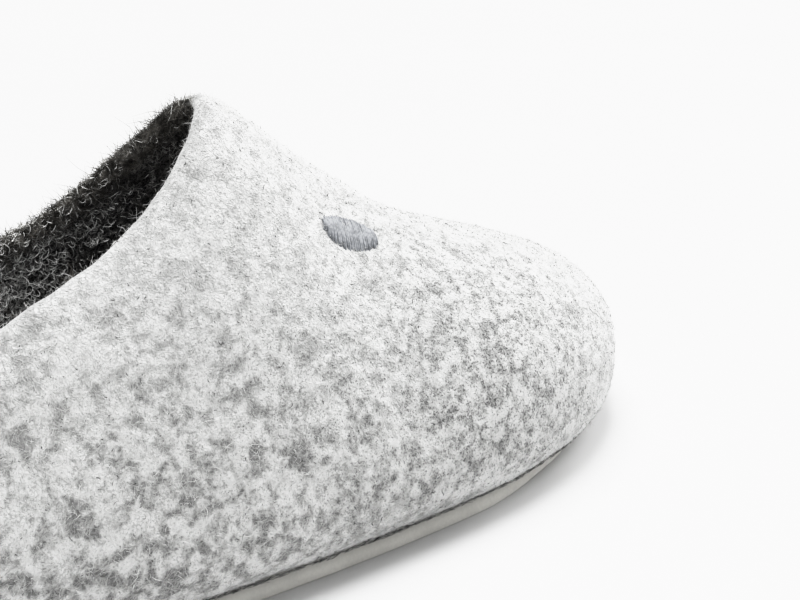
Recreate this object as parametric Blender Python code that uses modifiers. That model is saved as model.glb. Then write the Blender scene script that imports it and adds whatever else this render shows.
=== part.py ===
"""Felt house slipper: rubber outsole, one hollow felt upper and a felt insole.

The frame has +X to the toe, +Y to the big toe side and +Z up, with the floor at zero.
All sizes are in millimetres and are turned into metres when a mesh is made.
"""
import bpy
import bmesh
import numpy as np
from collections import namedtuple
from math import radians

MM = 0.001

# Plan of the last at its widest level
LENGTH = 268.0
BALL_HALF_WIDTH = 50.0
HEEL_HALF_WIDTH = 36.5
TOE_REACH = 83.5
HEEL_REACH = 46.0
TOE_TIP_SHIFT = 12.6
RIDGE_SHIFT = 5.1
OUTER_SIDE_FULLNESS = 0.8
ARCH_SIDE_FULLNESS = 1.5
OUTLINE_SQUARENESS = 2.17

# Sole, felt and gaps
SOLE_THICKNESS = 4.6
SOLE_EDGE_ROUND = 0.8
TOE_SPRING = 7.1
TOE_SPRING_LENGTH = 85.0
FELT_THICKNESS = 4.2
COLLAR_ROUND = 1.9
INSOLE_THICKNESS = 4.0
INSOLE_EDGE_ROUND = 0.6
TUCK_OVER_SOLE = 4.9
EXTRA_TUCK_AT_TIP = 4.0
FELT_FOOT_HEIGHT = 1.0
WIDEST_ABOVE_SOLE = 11.0
WIDEST_DROP_AT_TOE = 4.5
BULGE_POWER = 2.5
PIECE_GAP = 0.3

# Opening for the foot
APEX_BEHIND_TOE = 125.5
RIDGE_ROUNDING = 0.16

# Each table is read with a smooth curve through its rows
RidgeRow = namedtuple("RidgeRow", "behind_toe height")
RIDGE = (
    RidgeRow(0.0, 50.8),
    RidgeRow(25.0, 48.6),
    RidgeRow(50.0, 52.4),
    RidgeRow(75.0, 60.7),
    RidgeRow(100.0, 76.0),
    RidgeRow(125.0, 93.0),
    RidgeRow(160.0, 89.0),
    RidgeRow(231.0, 102.0),
)
CollarRow = namedtuple("CollarRow", "behind_apex height")
COLLAR = (
    CollarRow(0.0, 93.4),
    CollarRow(30.0, 71.2),
    CollarRow(60.0, 60.0),
    CollarRow(100.0, 47.0),
    CollarRow(145.0, 40.0),
)
SectionRow = namedtuple("SectionRow", "behind_toe ridge_power wall_power")
TOE_SECTION = SectionRow(40.0, 2.24, 2.23)
INSTEP_SECTION = SectionRow(110.0, 1.05, 1.34)

# Fineness of the meshes
TOE_COLUMNS = 32
HEEL_COLUMNS = 18
VAMP_STATIONS = 6
COLLAR_STATIONS = 15
WALL_ROWS = 4
TOP_ROWS = 12

# Worked out from the sizes above
TOE_TIP_X = LENGTH / 2
BALL_X = TOE_TIP_X - TOE_REACH
HEEL_X = HEEL_REACH - LENGTH / 2
APEX_X = TOE_TIP_X - APEX_BEHIND_TOE

# A column starts at x0, y0 on the ridge line; at a share s of the way out to the widest level
# it is at x0 + ahead * s, y0 + across * s + bend * s * s
Column = namedtuple("Column", "x0 y0 ahead across bend closed")


def ease(t):
    """Smooth step from 0 to 1."""
    t = np.clip(t, 0.0, 1.0)
    return t * t * (3.0 - 2.0 * t)


def through_rows(rows, at):
    """Smooth curve through the rows of a two-column table."""
    place, value = np.array(rows, dtype=float).T
    at = np.clip(at, place[0], place[-1])
    slope = np.gradient(value, place)
    i = np.clip(np.searchsorted(place, at) - 1, 0, len(place) - 2)
    step = place[i + 1] - place[i]
    t = (at - place[i]) / step
    ends = (1 + 2 * t) * (1 - t) ** 2 * value[i] + t * t * (3 - 2 * t) * value[i + 1]
    return ends + step * t * (1 - t) * ((1 - t) * slope[i] - t * slope[i + 1])


def toe_spring(x):
    """Lift of the sole's underside off the floor."""
    run = np.clip((x - TOE_TIP_X + TOE_SPRING_LENGTH) / TOE_SPRING_LENGTH, 0.0, None)
    return TOE_SPRING * run ** 2


def sole_top(x):
    return SOLE_THICKNESS + toe_spring(x)


def sole_tuck(columns):
    """How far the sole lies inside the widest level, most at the tip of the toe."""
    x = plan_at(columns, np.ones(len(columns)))[0]
    run = np.clip((x - BALL_X) / TOE_REACH, 0.0, 1.0)
    return TUCK_OVER_SOLE + EXTRA_TUCK_AT_TIP * run ** 6


def widest_rise(x):
    """Height of the widest level above the sole."""
    return WIDEST_ABOVE_SOLE - WIDEST_DROP_AT_TOE * ease((x - BALL_X) / TOE_REACH)


def ridge_height(x):
    return through_rows(RIDGE, TOE_TIP_X - x)


def ridge_line(x):
    """Sideways place of the ridge."""
    return RIDGE_SHIFT * ease((x - HEEL_X) / (BALL_X - HEEL_X))


def half_width(x, side):
    """Half width at the widest level; side is -1 for the outer side and 1 for the arch side."""
    fullness = OUTER_SIDE_FULLNESS if side < 0 else ARCH_SIDE_FULLNESS
    along = np.clip((x - HEEL_X) / (BALL_X - HEEL_X), 0.0, 1.0)
    return HEEL_HALF_WIDTH + (BALL_HALF_WIDTH - HEEL_HALF_WIDTH) * ease(along ** fullness)


def section_powers(x):
    """Powers of the section's curve at the ridge and at the wall."""
    toe, instep = TOE_SECTION, INSTEP_SECTION
    change = ease((TOE_TIP_X - x - toe.behind_toe) / (instep.behind_toe - toe.behind_toe))
    ridge = toe.ridge_power + (instep.ridge_power - toe.ridge_power) * change
    wall = toe.wall_power + (instep.wall_power - toe.wall_power) * change
    return ridge, wall


def top_height(x, share):
    """Height of the felt at a share of the way from the ridge out to the widest level."""
    ridge, wall = section_powers(x)
    full = np.hypot(1.0, RIDGE_ROUNDING) - RIDGE_ROUNDING
    rounded = (np.hypot(share, RIDGE_ROUNDING) - RIDGE_ROUNDING) / full
    arch = np.clip(1.0 - rounded ** ridge, 0.0, None) ** (1.0 / wall)
    level = sole_top(x) + widest_rise(x)
    return level + (ridge_height(x) - level) * arch


def collar_share(x):
    """Share of the way out from the ridge at which the felt ends at the collar."""
    ridge, wall = section_powers(x)
    level = sole_top(x) + widest_rise(x)
    height = through_rows(COLLAR, APEX_X - x)
    arch = np.clip((height - level) / (ridge_height(x) - level), 0.0, 1.0)
    full = np.hypot(1.0, RIDGE_ROUNDING) - RIDGE_ROUNDING
    reach = np.clip(1.0 - arch ** wall, 0.0, None) ** (1.0 / ridge) * full + RIDGE_ROUNDING
    return np.sqrt(np.clip(reach ** 2 - RIDGE_ROUNDING ** 2, 0.0, None))


def rounded_end(start, stop, count):
    """Lengthwise and sideways shares of the points round the toe or the heel."""
    angles = np.radians(np.linspace(start, stop, count + 1))
    power = 2.0 / OUTLINE_SQUARENESS
    along = np.abs(np.cos(angles)) ** power
    across = np.sign(np.sin(angles)) * np.abs(np.sin(angles)) ** power
    return zip(along, across)


def side_columns(stations, side, closed):
    columns = []
    for x in stations:
        y = ridge_line(x)
        columns.append(Column(x, y, 0.0, side * half_width(x, side) - y, 0.0, closed))
    return columns


def columns_round():
    """Columns from the apex along the outer side, round the toe, back by the arch and round the heel."""
    vamp = np.linspace(APEX_X, BALL_X, VAMP_STATIONS + 1)[:-1]
    back = APEX_X - (APEX_X - HEEL_X) * np.linspace(0.0, 1.0, COLLAR_STATIONS + 1)[1:-1] ** 1.4
    columns = side_columns(vamp, -1, True)
    y = ridge_line(BALL_X)
    for along, across in rounded_end(-90.0, 90.0, TOE_COLUMNS):
        reach = BALL_HALF_WIDTH - y * np.sign(across)
        bend = (TOE_TIP_SHIFT - y) * along ** 2
        columns.append(Column(BALL_X, y, TOE_REACH * along, reach * across, bend, True))
    columns += side_columns(vamp[::-1], 1, True)
    columns += side_columns(back, 1, False)
    for along, across in rounded_end(90.0, -90.0, HEEL_COLUMNS):
        columns.append(Column(HEEL_X, 0.0, -HEEL_REACH * along, HEEL_HALF_WIDTH * across, 0.0, False))
    columns += side_columns(back[::-1], -1, False)
    return columns


def plan_at(columns, shares):
    """Plan points of all columns, each at its own share of the way out."""
    x0, y0, ahead, across, bend = np.array([column[:5] for column in columns]).T
    return x0 + ahead * shares, y0 + across * shares + bend * shares ** 2


def outline_inset(columns, inset):
    """Plan outline, drawn in from the widest level."""
    x, y = plan_at(columns, np.ones(len(columns)))
    along = np.roll(x, -1) - np.roll(x, 1), np.roll(y, -1) - np.roll(y, 1)
    length = np.hypot(*along)
    return x - inset * along[1] / length, y + inset * along[0] / length


def loft(name, rows, collection, material):
    """Open surface through rings of points, welded where rings close up on the ridge line."""
    count = len(rows[0])
    faces = []
    for ring in range(len(rows) - 1):
        for a in range(count):
            low, high = ring * count, (ring + 1) * count
            b = (a + 1) % count
            faces.append((low + a, low + b, high + b, high + a))
    mesh = bpy.data.meshes.new(name)
    mesh.from_pydata((np.concatenate(rows) * MM).tolist(), [], faces)
    work = bmesh.new()
    work.from_mesh(mesh)
    bmesh.ops.remove_doubles(work, verts=work.verts, dist=0.001 * MM)
    work.to_mesh(mesh)
    work.free()
    mesh.materials.append(material)
    mesh.shade_smooth()
    item = bpy.data.objects.new(name, mesh)
    collection.objects.link(item)
    return item


def thicken(item, thickness, offset):
    """Give an open surface its thickness, outward for an offset of 1 and inward for -1."""
    wall = item.modifiers.new("thickness", "SOLIDIFY")
    wall.thickness = thickness * MM
    wall.offset = offset
    wall.use_even_offset = True
    wall.use_quality_normals = True


def round_edges(item, width, segments, method):
    """Round the marked edges, or all sharp edges."""
    edge = item.modifiers.new("rounding", "BEVEL")
    edge.width = width * MM
    edge.segments = segments
    edge.limit_method = method
    edge.angle_limit = radians(50.0)


def mark_collar(item):
    """Mark the open edges above the foot of the felt for rounding."""
    work = bmesh.new()
    work.from_mesh(item.data)
    weight = work.edges.layers.float.new("bevel_weight_edge")
    for edge in work.edges:
        if edge.is_boundary and min(vert.co.z for vert in edge.verts) > 25.0 * MM:
            edge[weight] = 1.0
    work.to_mesh(item.data)
    work.free()


def make_upper(columns, collection, material):
    """One hollow felt shell, open at the collar and underneath."""
    rows = []
    tuck = sole_tuck(columns)
    x, y = outline_inset(columns, tuck)
    rows.append(np.stack([x, y, sole_top(x) + PIECE_GAP], axis=1))
    for step in range(WALL_ROWS):
        lift = step / WALL_ROWS
        x, y = outline_inset(columns, tuck * (1.0 - lift) ** BULGE_POWER)
        foot = PIECE_GAP + FELT_FOOT_HEIGHT
        rows.append(np.stack([x, y, sole_top(x) + foot + (widest_rise(x) - foot) * lift], axis=1))
    ends = [0.0 if c.closed else float(collar_share(c.x0 + 0.85 * c.ahead)) for c in columns]
    ends = np.array(ends)
    for step in range(TOP_ROWS + 1):
        shares = 1.0 - (1.0 - ends) * (step / TOP_ROWS) ** 1.4
        x, y = plan_at(columns, shares)
        rows.append(np.stack([x, y, top_height(x, shares)], axis=1))
    item = loft("upper", rows, collection, material)
    mark_collar(item)
    thicken(item, FELT_THICKNESS, -1.0)
    round_edges(item, COLLAR_ROUND, 3, "WEIGHT")
    return item


def make_sheet(name, columns, inset, bottom, thickness, rounding, collection, material):
    """Cut sheet that follows the toe spring."""
    rows = []
    edge_x, edge_y = outline_inset(columns, inset)
    spine_x, spine_y = plan_at(columns, np.zeros(len(columns)))
    for share in (0.0, 0.5, 1.0):
        x = spine_x + (edge_x - spine_x) * share
        y = spine_y + (edge_y - spine_y) * share
        rows.append(np.stack([x, y, bottom + toe_spring(x)], axis=1))
    item = loft(name, rows, collection, material)
    thicken(item, thickness, -1.0)
    round_edges(item, rounding, 2, "ANGLE")
    return item


def make_material(name, colour, roughness):
    material = bpy.data.materials.new(name)
    material.use_nodes = True
    shader = material.node_tree.nodes["Principled BSDF"]
    shader.inputs["Base Color"].default_value = (*colour, 1.0)
    shader.inputs["Roughness"].default_value = roughness
    shader.inputs["Metallic"].default_value = 0.0
    material.diffuse_color = (*colour, 1.0)
    return material


def main():
    for item in list(bpy.data.objects):
        bpy.data.objects.remove(item, do_unlink=True)
    slipper = bpy.data.collections.new("felt_slipper")
    bpy.context.scene.collection.children.link(slipper)
    rubber = make_material("sole_rubber", (0.36, 0.355, 0.345), 0.5)
    felt = make_material("grey_felt", (0.62, 0.62, 0.61), 0.95)
    lining = make_material("charcoal_felt", (0.035, 0.035, 0.036), 0.95)
    columns = columns_round()
    tuck = sole_tuck(columns)
    make_sheet("outsole", columns, tuck, 0.0, SOLE_THICKNESS, SOLE_EDGE_ROUND, slipper, rubber)
    make_upper(columns, slipper, felt)
    inset = tuck + FELT_THICKNESS + PIECE_GAP
    bottom = SOLE_THICKNESS + PIECE_GAP
    make_sheet("insole", columns, inset, bottom, INSOLE_THICKNESS, INSOLE_EDGE_ROUND, slipper, lining)


main()
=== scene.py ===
import bpy
import math
import numpy as np
from collections import namedtuple
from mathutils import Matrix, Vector, noise


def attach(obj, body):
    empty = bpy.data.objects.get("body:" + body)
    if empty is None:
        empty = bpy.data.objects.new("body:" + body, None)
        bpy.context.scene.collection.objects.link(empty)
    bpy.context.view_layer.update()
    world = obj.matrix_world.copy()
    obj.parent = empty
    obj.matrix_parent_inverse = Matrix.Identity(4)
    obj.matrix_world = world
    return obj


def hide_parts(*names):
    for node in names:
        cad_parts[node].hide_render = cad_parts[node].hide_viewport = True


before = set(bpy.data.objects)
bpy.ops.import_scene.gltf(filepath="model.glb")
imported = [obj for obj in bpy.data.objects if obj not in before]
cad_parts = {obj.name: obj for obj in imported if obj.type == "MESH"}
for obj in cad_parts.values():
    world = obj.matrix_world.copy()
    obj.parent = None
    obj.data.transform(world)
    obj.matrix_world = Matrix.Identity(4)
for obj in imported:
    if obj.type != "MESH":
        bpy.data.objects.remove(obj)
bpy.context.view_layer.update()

MM = 0.001

# Form of the slipper, in millimetres, as in the solids
LENGTH = 268.0
BALL_HALF_WIDTH = 50.0
HEEL_HALF_WIDTH = 36.5
TOE_REACH = 83.5
HEEL_REACH = 46.0
TOE_TIP_SHIFT = 12.6
RIDGE_SHIFT = 5.1
OUTER_SIDE_FULLNESS = 0.8
ARCH_SIDE_FULLNESS = 1.5
OUTLINE_SQUARENESS = 2.17
SOLE_THICKNESS = 4.6
TOE_SPRING = 7.1
TOE_SPRING_LENGTH = 85.0
FELT_THICKNESS = 4.2
INSOLE_THICKNESS = 4.0
TUCK_OVER_SOLE = 4.9
EXTRA_TUCK_AT_TIP = 4.0
WIDEST_ABOVE_SOLE = 11.0
WIDEST_DROP_AT_TOE = 4.5
BULGE_POWER = 2.5
RIDGE_ROUNDING = 0.16
APEX_BEHIND_TOE = 125.5
PIECE_GAP = 0.3

# The felt wall stops short of the rim, and the round of the collar makes up the rest
LIP_SETBACK = 1.8
LIP_STEPS = 10
LIP_STEPS_OUTSIDE = 5

# The rim runs lower on the arch side, between the instep and the heel
ARCH_RIM_DROP = 1.5
RIM_DROP_BEHIND_APEX = 12.0
RIM_DROP_BEFORE_HEEL = 25.0

# The line on the round of the collar where grey felt meets charcoal, as shares of a half turn
SEAM_MIDDLE = 0.48
SEAM_LEAN = 0.11
SEAM_AT_APEX = 0.27

# The foot of the felt hangs over the edge of the sole, most at the toe, and turns in beneath
FOOT_LIFT = -0.4
FOOT_OUT = 0.5
FOOT_TURN_IN = 2.6
FOOT_TURN_IN_AT_TIP = 4.0
FOOT_DROP_AT_TIP = 3.0
FOOT_OUT_AT_TIP = 0.8
FOOT_ROUNDING = 0.3
HEM_DROP_START_X = 66.0
HEM_DROP_RUN = 40.0

# The edge of the sole stands out a little at the sides and is cut back under the toe
SOLE_EDGE_OUT = 1.0
SoleCut = namedtuple("SoleCut", "depth start_x run")
SOLE_CUTS = (SoleCut(2.1, 46.0, 28.0), SoleCut(2.5, 80.0, 20.0))

# Edges of the two sheets: how round they are, and how far they lean out from bottom to top
SOLE_EDGE_ROUNDING = 0.45
SOLE_EDGE_FLARE = -1.9
INSOLE_EDGE_ROUNDING = 0.6
INSOLE_EDGE_FLARE = 3.4

# Steps of the meshes round the outline and up the wall
TOE_COLUMNS = 132
HEEL_COLUMNS = 64
VAMP_COLUMNS = 26
COLLAR_COLUMNS = 84
WALL_ROWS = 14
TOP_ROWS = 50

RIDGE = ((0.0, 50.8), (25.0, 48.6), (50.0, 52.4), (75.0, 60.7), (100.0, 76.0), (125.0, 93.0),
         (160.0, 89.0), (231.0, 102.0))
COLLAR = ((0.0, 93.4), (30.0, 71.2), (60.0, 60.0), (100.0, 47.0), (145.0, 40.0))
SectionRow = namedtuple("SectionRow", "behind_toe ridge_power wall_power")
TOE_SECTION = SectionRow(40.0, 2.24, 2.23)
INSTEP_SECTION = SectionRow(110.0, 1.05, 1.34)

TOE_TIP_X = LENGTH / 2
BALL_X = TOE_TIP_X - TOE_REACH
HEEL_X = HEEL_REACH - LENGTH / 2
APEX_X = TOE_TIP_X - APEX_BEHIND_TOE

Column = namedtuple("Column", "x0 y0 ahead across bend closed")

# Unevenness of the felt, in millimetres; the seam's is in radians round the collar
Lumps = namedtuple("Lumps", "height size seed")
FELT_LUMPS = (Lumps(0.32, 9.0, 1), Lumps(0.16, 3.6, 2))
LINING_LUMPS = Lumps(0.25, 7.0, 3)
RIM_LUMPS = Lumps(0.35, 6.0, 5)
INSOLE_LUMPS = Lumps(0.12, 8.0, 6)
FOOT_LUMPS = Lumps(0.3, 3.2, 7)
SEAM_LUMPS = Lumps(0.22, 3.0, 8)

# Soft dents and swellings: the middle, the reach, and how far the felt stands out
Dent = namedtuple("Dent", "x y z reach out")
DENTS = (
    Dent(52.0, -4.0, 58.0, 17.0, -0.7),
    Dent(34.0, -30.0, 52.0, 20.0, 0.5),
    Dent(70.0, -38.0, 30.0, 16.0, -0.45),
    Dent(20.0, -46.0, 26.0, 22.0, -0.5),
    Dent(-30.0, -40.0, 34.0, 20.0, -0.7),
    Dent(-70.0, -34.0, 30.0, 18.0, 0.5),
    Dent(60.0, 34.0, 40.0, 18.0, -0.5),
    Dent(10.0, 42.0, 34.0, 22.0, 0.5),
    Dent(-45.0, 38.0, 32.0, 20.0, -0.7),
    Dent(-128.0, 0.0, 26.0, 16.0, -0.5),
    Dent(104.0, 8.0, 46.0, 15.0, 0.4),
)

# Fibres, lengths and widths in millimetres
Fuzz = namedtuple("Fuzz", "count seed length width")
Curls = namedtuple("Curls", "count seed length width lift steps")
FELT_FUZZ = (("felt_fuzz_a", Fuzz(36000, 11, 1.1, 0.09)), ("felt_fuzz_b", Fuzz(36000, 12, 1.1, 0.09)))
DARK_FUZZ = Fuzz(24000, 13, 0.42, 0.19)
RIM_FUZZ = Fuzz(18000, 14, 1.8, 0.10)
DIM_CURLS = Curls(20000, 21, 1.6, 0.10, 0.5, 4)
PALE_CURLS = Curls(17000, 22, 2.3, 0.085, 0.9, 5)
INSOLE_CURLS = Curls(6000, 23, 2.2, 0.10, 0.5, 4)
STRAY_COUNT = 60
STRAY_FROM_X = 40.0
# Dark fibres along the seam: partly lint, partly painted shade under the felt
SEAM_SHADE_LINT_COUNT = 5000

# How far a fibre's flat side turns from the way the felt faces
FIBRE_TWIST = 0.45

# How far curls may rise past the rim, on the outer side and on the arch side
CURL_RISE_OUTER = -1.5
CURL_RISE_ARCH = 0.4

# Oval of satin stitch on the vamp
OVAL_X = 31.5
OVAL_Y = -18.6
OVAL_TURN = math.radians(-18.0)
OVAL_LENGTH = 15.0
OVAL_WIDTH = 9.0
OVAL_THREAD = 0.5
OVAL_PADDING = 0.8

# Colours
PALE_WOOL = (0.84, 0.84, 0.833)
GREY_WOOL = (0.215, 0.215, 0.212)
FLECK_WOOL = (0.04, 0.04, 0.04)
STRAND_WOOL = (0.84, 0.84, 0.834)
# Painted sheen: the colour that wool seen edge-on is painted towards
PAINTED_EDGE_SHEEN = (0.90, 0.90, 0.895)
BLACK_WOOL = (0.008, 0.008, 0.0075)
CHARCOAL_WOOL = (0.04, 0.0392, 0.037)
CHARCOAL_STRAND = (0.30, 0.296, 0.286)
# Sole colours: painted light towards its foot and painted shade towards its top, under the overhanging felt
RUBBER_FOOT_PAINTED_LIGHT = (0.93, 0.918, 0.87)
RUBBER_TOP_PAINTED_SHADE = (0.41, 0.404, 0.377)
RUBBER_CLOUD = (0.46, 0.453, 0.426)
THREAD_DARK = (0.14, 0.147, 0.16)
THREAD_LIGHT = (0.30, 0.312, 0.335)
FLOOR_DIM = (0.75, 0.75, 0.75)
FLOOR_PALE = (0.77, 0.77, 0.77)

# Wools of the fibres: colour where the marl is clear, where it is mottled, and how much it tells
Wool = namedtuple("Wool", "name clear mottled share")
FUZZ_WOOL = Wool("grey_felt_fuzz", (0.82, 0.82, 0.813), (0.48, 0.48, 0.475), 0.8)
SPECK_WOOL = Wool("dark_wool_fuzz", (0.16, 0.16, 0.158), (0.03, 0.03, 0.03), 0.9)
LINING_WOOL = Wool("charcoal_fibres", (0.10, 0.098, 0.092), (0.60, 0.594, 0.572), 0.95)
PALE_LINING_WOOL = Wool("pale_lining_fibres", (0.95, 0.95, 0.93), (0.85, 0.85, 0.83), 0.95)
BROWN_WOOL = Wool("brown_black_fuzz", (0.05, 0.047, 0.041), (0.24, 0.228, 0.205), 0.95)

# How far the wool is painted paler where it is seen edge-on, a painted sheen
FELT_PAINTED_SHEEN = 0.8
FUZZ_PAINTED_SHEEN = 0.7

# Sizes of the marl and of its flecks, in spots per metre
TOE_MARL = dict(Mottle_Scale=640.0, Fleck_Scale=2300.0)
SIDE_MARL = dict(Mottle_Scale=500.0, Fleck_Scale=1500.0)
LINING_MARL = dict(Mottle_Scale=300.0, Fleck_Scale=1500.0)

# How the grey marl changes, in metres: along from side to toe, and up to the instep, where it is paler; that
# paling is partly the wool's own and partly painted light on the top of the felt
MARL_FADES_X = (0.02, 0.10)
MARL_FINER_X = (-0.01, 0.06)
FLECKS_CRISP_X = (-0.03, 0.08)
PALER_MARL_AND_PAINTED_LIGHT_Z = (0.025, 0.075)

# Camera, in millimetres and degrees, and the light
CAMERA_AIM = (61.95, 0.0, 35.4)
CAMERA_AZIMUTH = -40.64
CAMERA_ELEVATION = 19.5
CAMERA_DISTANCE = 278.84
CAMERA_FOCUS_PIXELS = 1092.39
PICTURE_WIDTH = 800.0
Sun = namedtuple("Sun", "name strength spread towards")
FROM_ABOVE = Sun("light_from_above", 3.7, 32.0, (0.06, 0.24, 1.0))
FROM_TOE = Sun("light_from_toe", 3.0, 32.0, (1.0, 0.05, 0.6))
INTO_COLLAR = Sun("light_into_collar", 4.8, 30.0, (-0.4, -0.6, 0.9))
SOFT_LIGHT = 0.35
BACKDROP_LIGHT = 1.4
FLOOR_REACH = 12.0

# Tone curve: the brightness shown for an amount of light, up to the brightest light
BRIGHTEST = 1.85
BRIGHTEST_SHOWN = 0.975
SHOULDER = (
    (0.04, 0.05), (0.083, 0.1), (0.175, 0.2), (0.28, 0.3), (0.5, 0.5),
    (0.69, 0.7), (0.795, 0.85), (0.875, 1.0), (0.925, 1.2), (0.95, 1.45),
)


# Form

def ease(t):
    t = np.clip(t, 0.0, 1.0)
    return t * t * (3.0 - 2.0 * t)


def through_rows(rows, at):
    place, value = np.array(rows, dtype=float).T
    at = np.clip(at, place[0], place[-1])
    slope = np.gradient(value, place)
    i = np.clip(np.searchsorted(place, at) - 1, 0, len(place) - 2)
    step = place[i + 1] - place[i]
    t = (at - place[i]) / step
    ends = (1 + 2 * t) * (1 - t) ** 2 * value[i] + t * t * (3 - 2 * t) * value[i + 1]
    return ends + step * t * (1 - t) * ((1 - t) * slope[i] - t * slope[i + 1])


def toe_spring(x):
    run = np.clip((x - TOE_TIP_X + TOE_SPRING_LENGTH) / TOE_SPRING_LENGTH, 0.0, None)
    return TOE_SPRING * run ** 2


def sole_top(x):
    return SOLE_THICKNESS + toe_spring(x)


def widest_rise(x):
    return WIDEST_ABOVE_SOLE - WIDEST_DROP_AT_TOE * ease((x - BALL_X) / TOE_REACH)


def ridge_height(x):
    return through_rows(RIDGE, TOE_TIP_X - x)


def ridge_line(x):
    return RIDGE_SHIFT * ease((x - HEEL_X) / (BALL_X - HEEL_X))


def half_width(x, side):
    fullness = OUTER_SIDE_FULLNESS if side < 0 else ARCH_SIDE_FULLNESS
    along = np.clip((x - HEEL_X) / (BALL_X - HEEL_X), 0.0, 1.0)
    return HEEL_HALF_WIDTH + (BALL_HALF_WIDTH - HEEL_HALF_WIDTH) * ease(along ** fullness)


def section_powers(x):
    toe, instep = TOE_SECTION, INSTEP_SECTION
    change = ease((TOE_TIP_X - x - toe.behind_toe) / (instep.behind_toe - toe.behind_toe))
    ridge = toe.ridge_power + (instep.ridge_power - toe.ridge_power) * change
    wall = toe.wall_power + (instep.wall_power - toe.wall_power) * change
    return ridge, wall


def top_height(x, share):
    ridge, wall = section_powers(x)
    full = np.hypot(1.0, RIDGE_ROUNDING) - RIDGE_ROUNDING
    rounded = (np.hypot(share, RIDGE_ROUNDING) - RIDGE_ROUNDING) / full
    arch = np.clip(1.0 - rounded ** ridge, 0.0, None) ** (1.0 / wall)
    level = sole_top(x) + widest_rise(x)
    return level + (ridge_height(x) - level) * arch


def collar_share(x, apex_x, arch_side):
    ridge, wall = section_powers(x)
    level = sole_top(x) + widest_rise(x)
    height = through_rows(COLLAR, apex_x - x) - COLLAR[0][1] + ridge_height(apex_x)
    if arch_side:
        drop = ARCH_RIM_DROP * ease((apex_x - x) / RIM_DROP_BEHIND_APEX)
        height = height - drop * ease((x - HEEL_X) / RIM_DROP_BEFORE_HEEL)
    arch = np.clip((height - level) / (ridge_height(x) - level), 0.0, 1.0)
    full = np.hypot(1.0, RIDGE_ROUNDING) - RIDGE_ROUNDING
    reach = np.clip(1.0 - arch ** wall, 0.0, None) ** (1.0 / ridge) * full + RIDGE_ROUNDING
    return np.sqrt(np.clip(reach ** 2 - RIDGE_ROUNDING ** 2, 0.0, None))


def rounded_end(start, stop, count):
    angles = np.radians(np.linspace(start, stop, count + 1))
    power = 2.0 / OUTLINE_SQUARENESS
    along = np.abs(np.cos(angles)) ** power
    across = np.sign(np.sin(angles)) * np.abs(np.sin(angles)) ** power
    return zip(along, across)


def side_columns(stations, side, closed):
    columns = []
    for x in stations:
        y = ridge_line(x)
        columns.append(Column(x, y, 0.0, side * half_width(x, side) - y, 0.0, closed))
    return columns


def columns_round(apex_x=APEX_X):
    """Columns from the apex along the outer side, round the toe, back by the arch and round the heel."""
    vamp = np.linspace(apex_x, BALL_X, VAMP_COLUMNS + 1)[:-1]
    back = apex_x - (apex_x - HEEL_X) * np.linspace(0.0, 1.0, COLLAR_COLUMNS + 1)[1:-1] ** 1.5
    columns = side_columns(vamp, -1, True)
    y = ridge_line(BALL_X)
    for along, across in rounded_end(-90.0, 90.0, TOE_COLUMNS):
        reach = BALL_HALF_WIDTH - y * np.sign(across)
        bend = (TOE_TIP_SHIFT - y) * along ** 2
        columns.append(Column(BALL_X, y, TOE_REACH * along, reach * across, bend, True))
    columns += side_columns(vamp[::-1], 1, True)
    columns += side_columns(back, 1, False)
    for along, across in rounded_end(90.0, -90.0, HEEL_COLUMNS):
        columns.append(Column(HEEL_X, 0.0, -HEEL_REACH * along, HEEL_HALF_WIDTH * across, 0.0, False))
    columns += side_columns(back[::-1], -1, False)
    return columns


def plan_at(columns, shares):
    x0, y0, ahead, across, bend = np.array([column[:5] for column in columns]).T
    return x0 + ahead * shares, y0 + across * shares + bend * shares ** 2


def sole_tuck(columns):
    x = plan_at(columns, np.ones(len(columns)))[0]
    run = np.clip((x - BALL_X) / TOE_REACH, 0.0, 1.0)
    return TUCK_OVER_SOLE + EXTRA_TUCK_AT_TIP * run ** 6


def outline_inset(columns, inset):
    x, y = plan_at(columns, np.ones(len(columns)))
    along = np.roll(x, -1) - np.roll(x, 1), np.roll(y, -1) - np.roll(y, 1)
    length = np.hypot(*along)
    return x - inset * along[1] / length, y + inset * along[0] / length


# Meshes

def weld(rows):
    """One list of points from rings of equal length, with points that coincide made one."""
    points = np.concatenate(rows)
    kept, number = np.unique(np.round(points, 4), axis=0, return_inverse=True)
    return kept, number.reshape(len(rows), len(rows[0]))


def ring_faces(rings, closed=True):
    """Faces between rings of point numbers."""
    faces = []
    for low, high in zip(rings[:-1], rings[1:]):
        count = len(low)
        for a in range(count if closed else count - 1):
            b = (a + 1) % count
            loop = [low[a], low[b], high[b], high[a]]
            face = [n for i, n in enumerate(loop) if n != loop[i - 1]]
            if len(face) > 2:
                faces.append(tuple(int(n) for n in face))
    return faces


def point_normals(points, faces):
    quads = np.array([face if len(face) == 4 else (*face, face[2]) for face in faces])
    corner = points[quads]
    normal = np.cross(corner[:, 2] - corner[:, 0], corner[:, 3] - corner[:, 1])
    normals = np.zeros_like(points)
    for side in range(4):
        np.add.at(normals, quads[:, side], normal)
    return normals / (np.linalg.norm(normals, axis=1)[:, None] + 1e-12)


def relief(points, lumps):
    """Soft uneven relief over points in millimetres, at most about as high or deep as the lumps."""
    shift = Vector((lumps.seed * 17.3, lumps.seed * 5.1, lumps.seed * 9.7))
    return lumps.height * np.array([noise.noise(Vector(p) / lumps.size + shift) for p in points])


def add_piece(name, points, faces, material, replaced=None):
    mesh = bpy.data.meshes.new(name)
    mesh.from_pydata((np.asarray(points) * MM).tolist(), [], faces)
    return place_piece(name, mesh, material, replaced)


def place_piece(name, mesh, material, replaced=None):
    mesh.materials.append(material)
    mesh.validate()
    mesh.shade_smooth()
    item = bpy.data.objects.new(name, mesh)
    bpy.context.scene.collection.objects.link(item)
    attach(item, "root")
    if replaced:
        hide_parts(replaced)
    return item


def hem_tip(x):
    """How far along the toe, 0 to 1, where the foot of the felt comes down over the sole."""
    return ease((x - HEM_DROP_START_X) / HEM_DROP_RUN)


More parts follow.
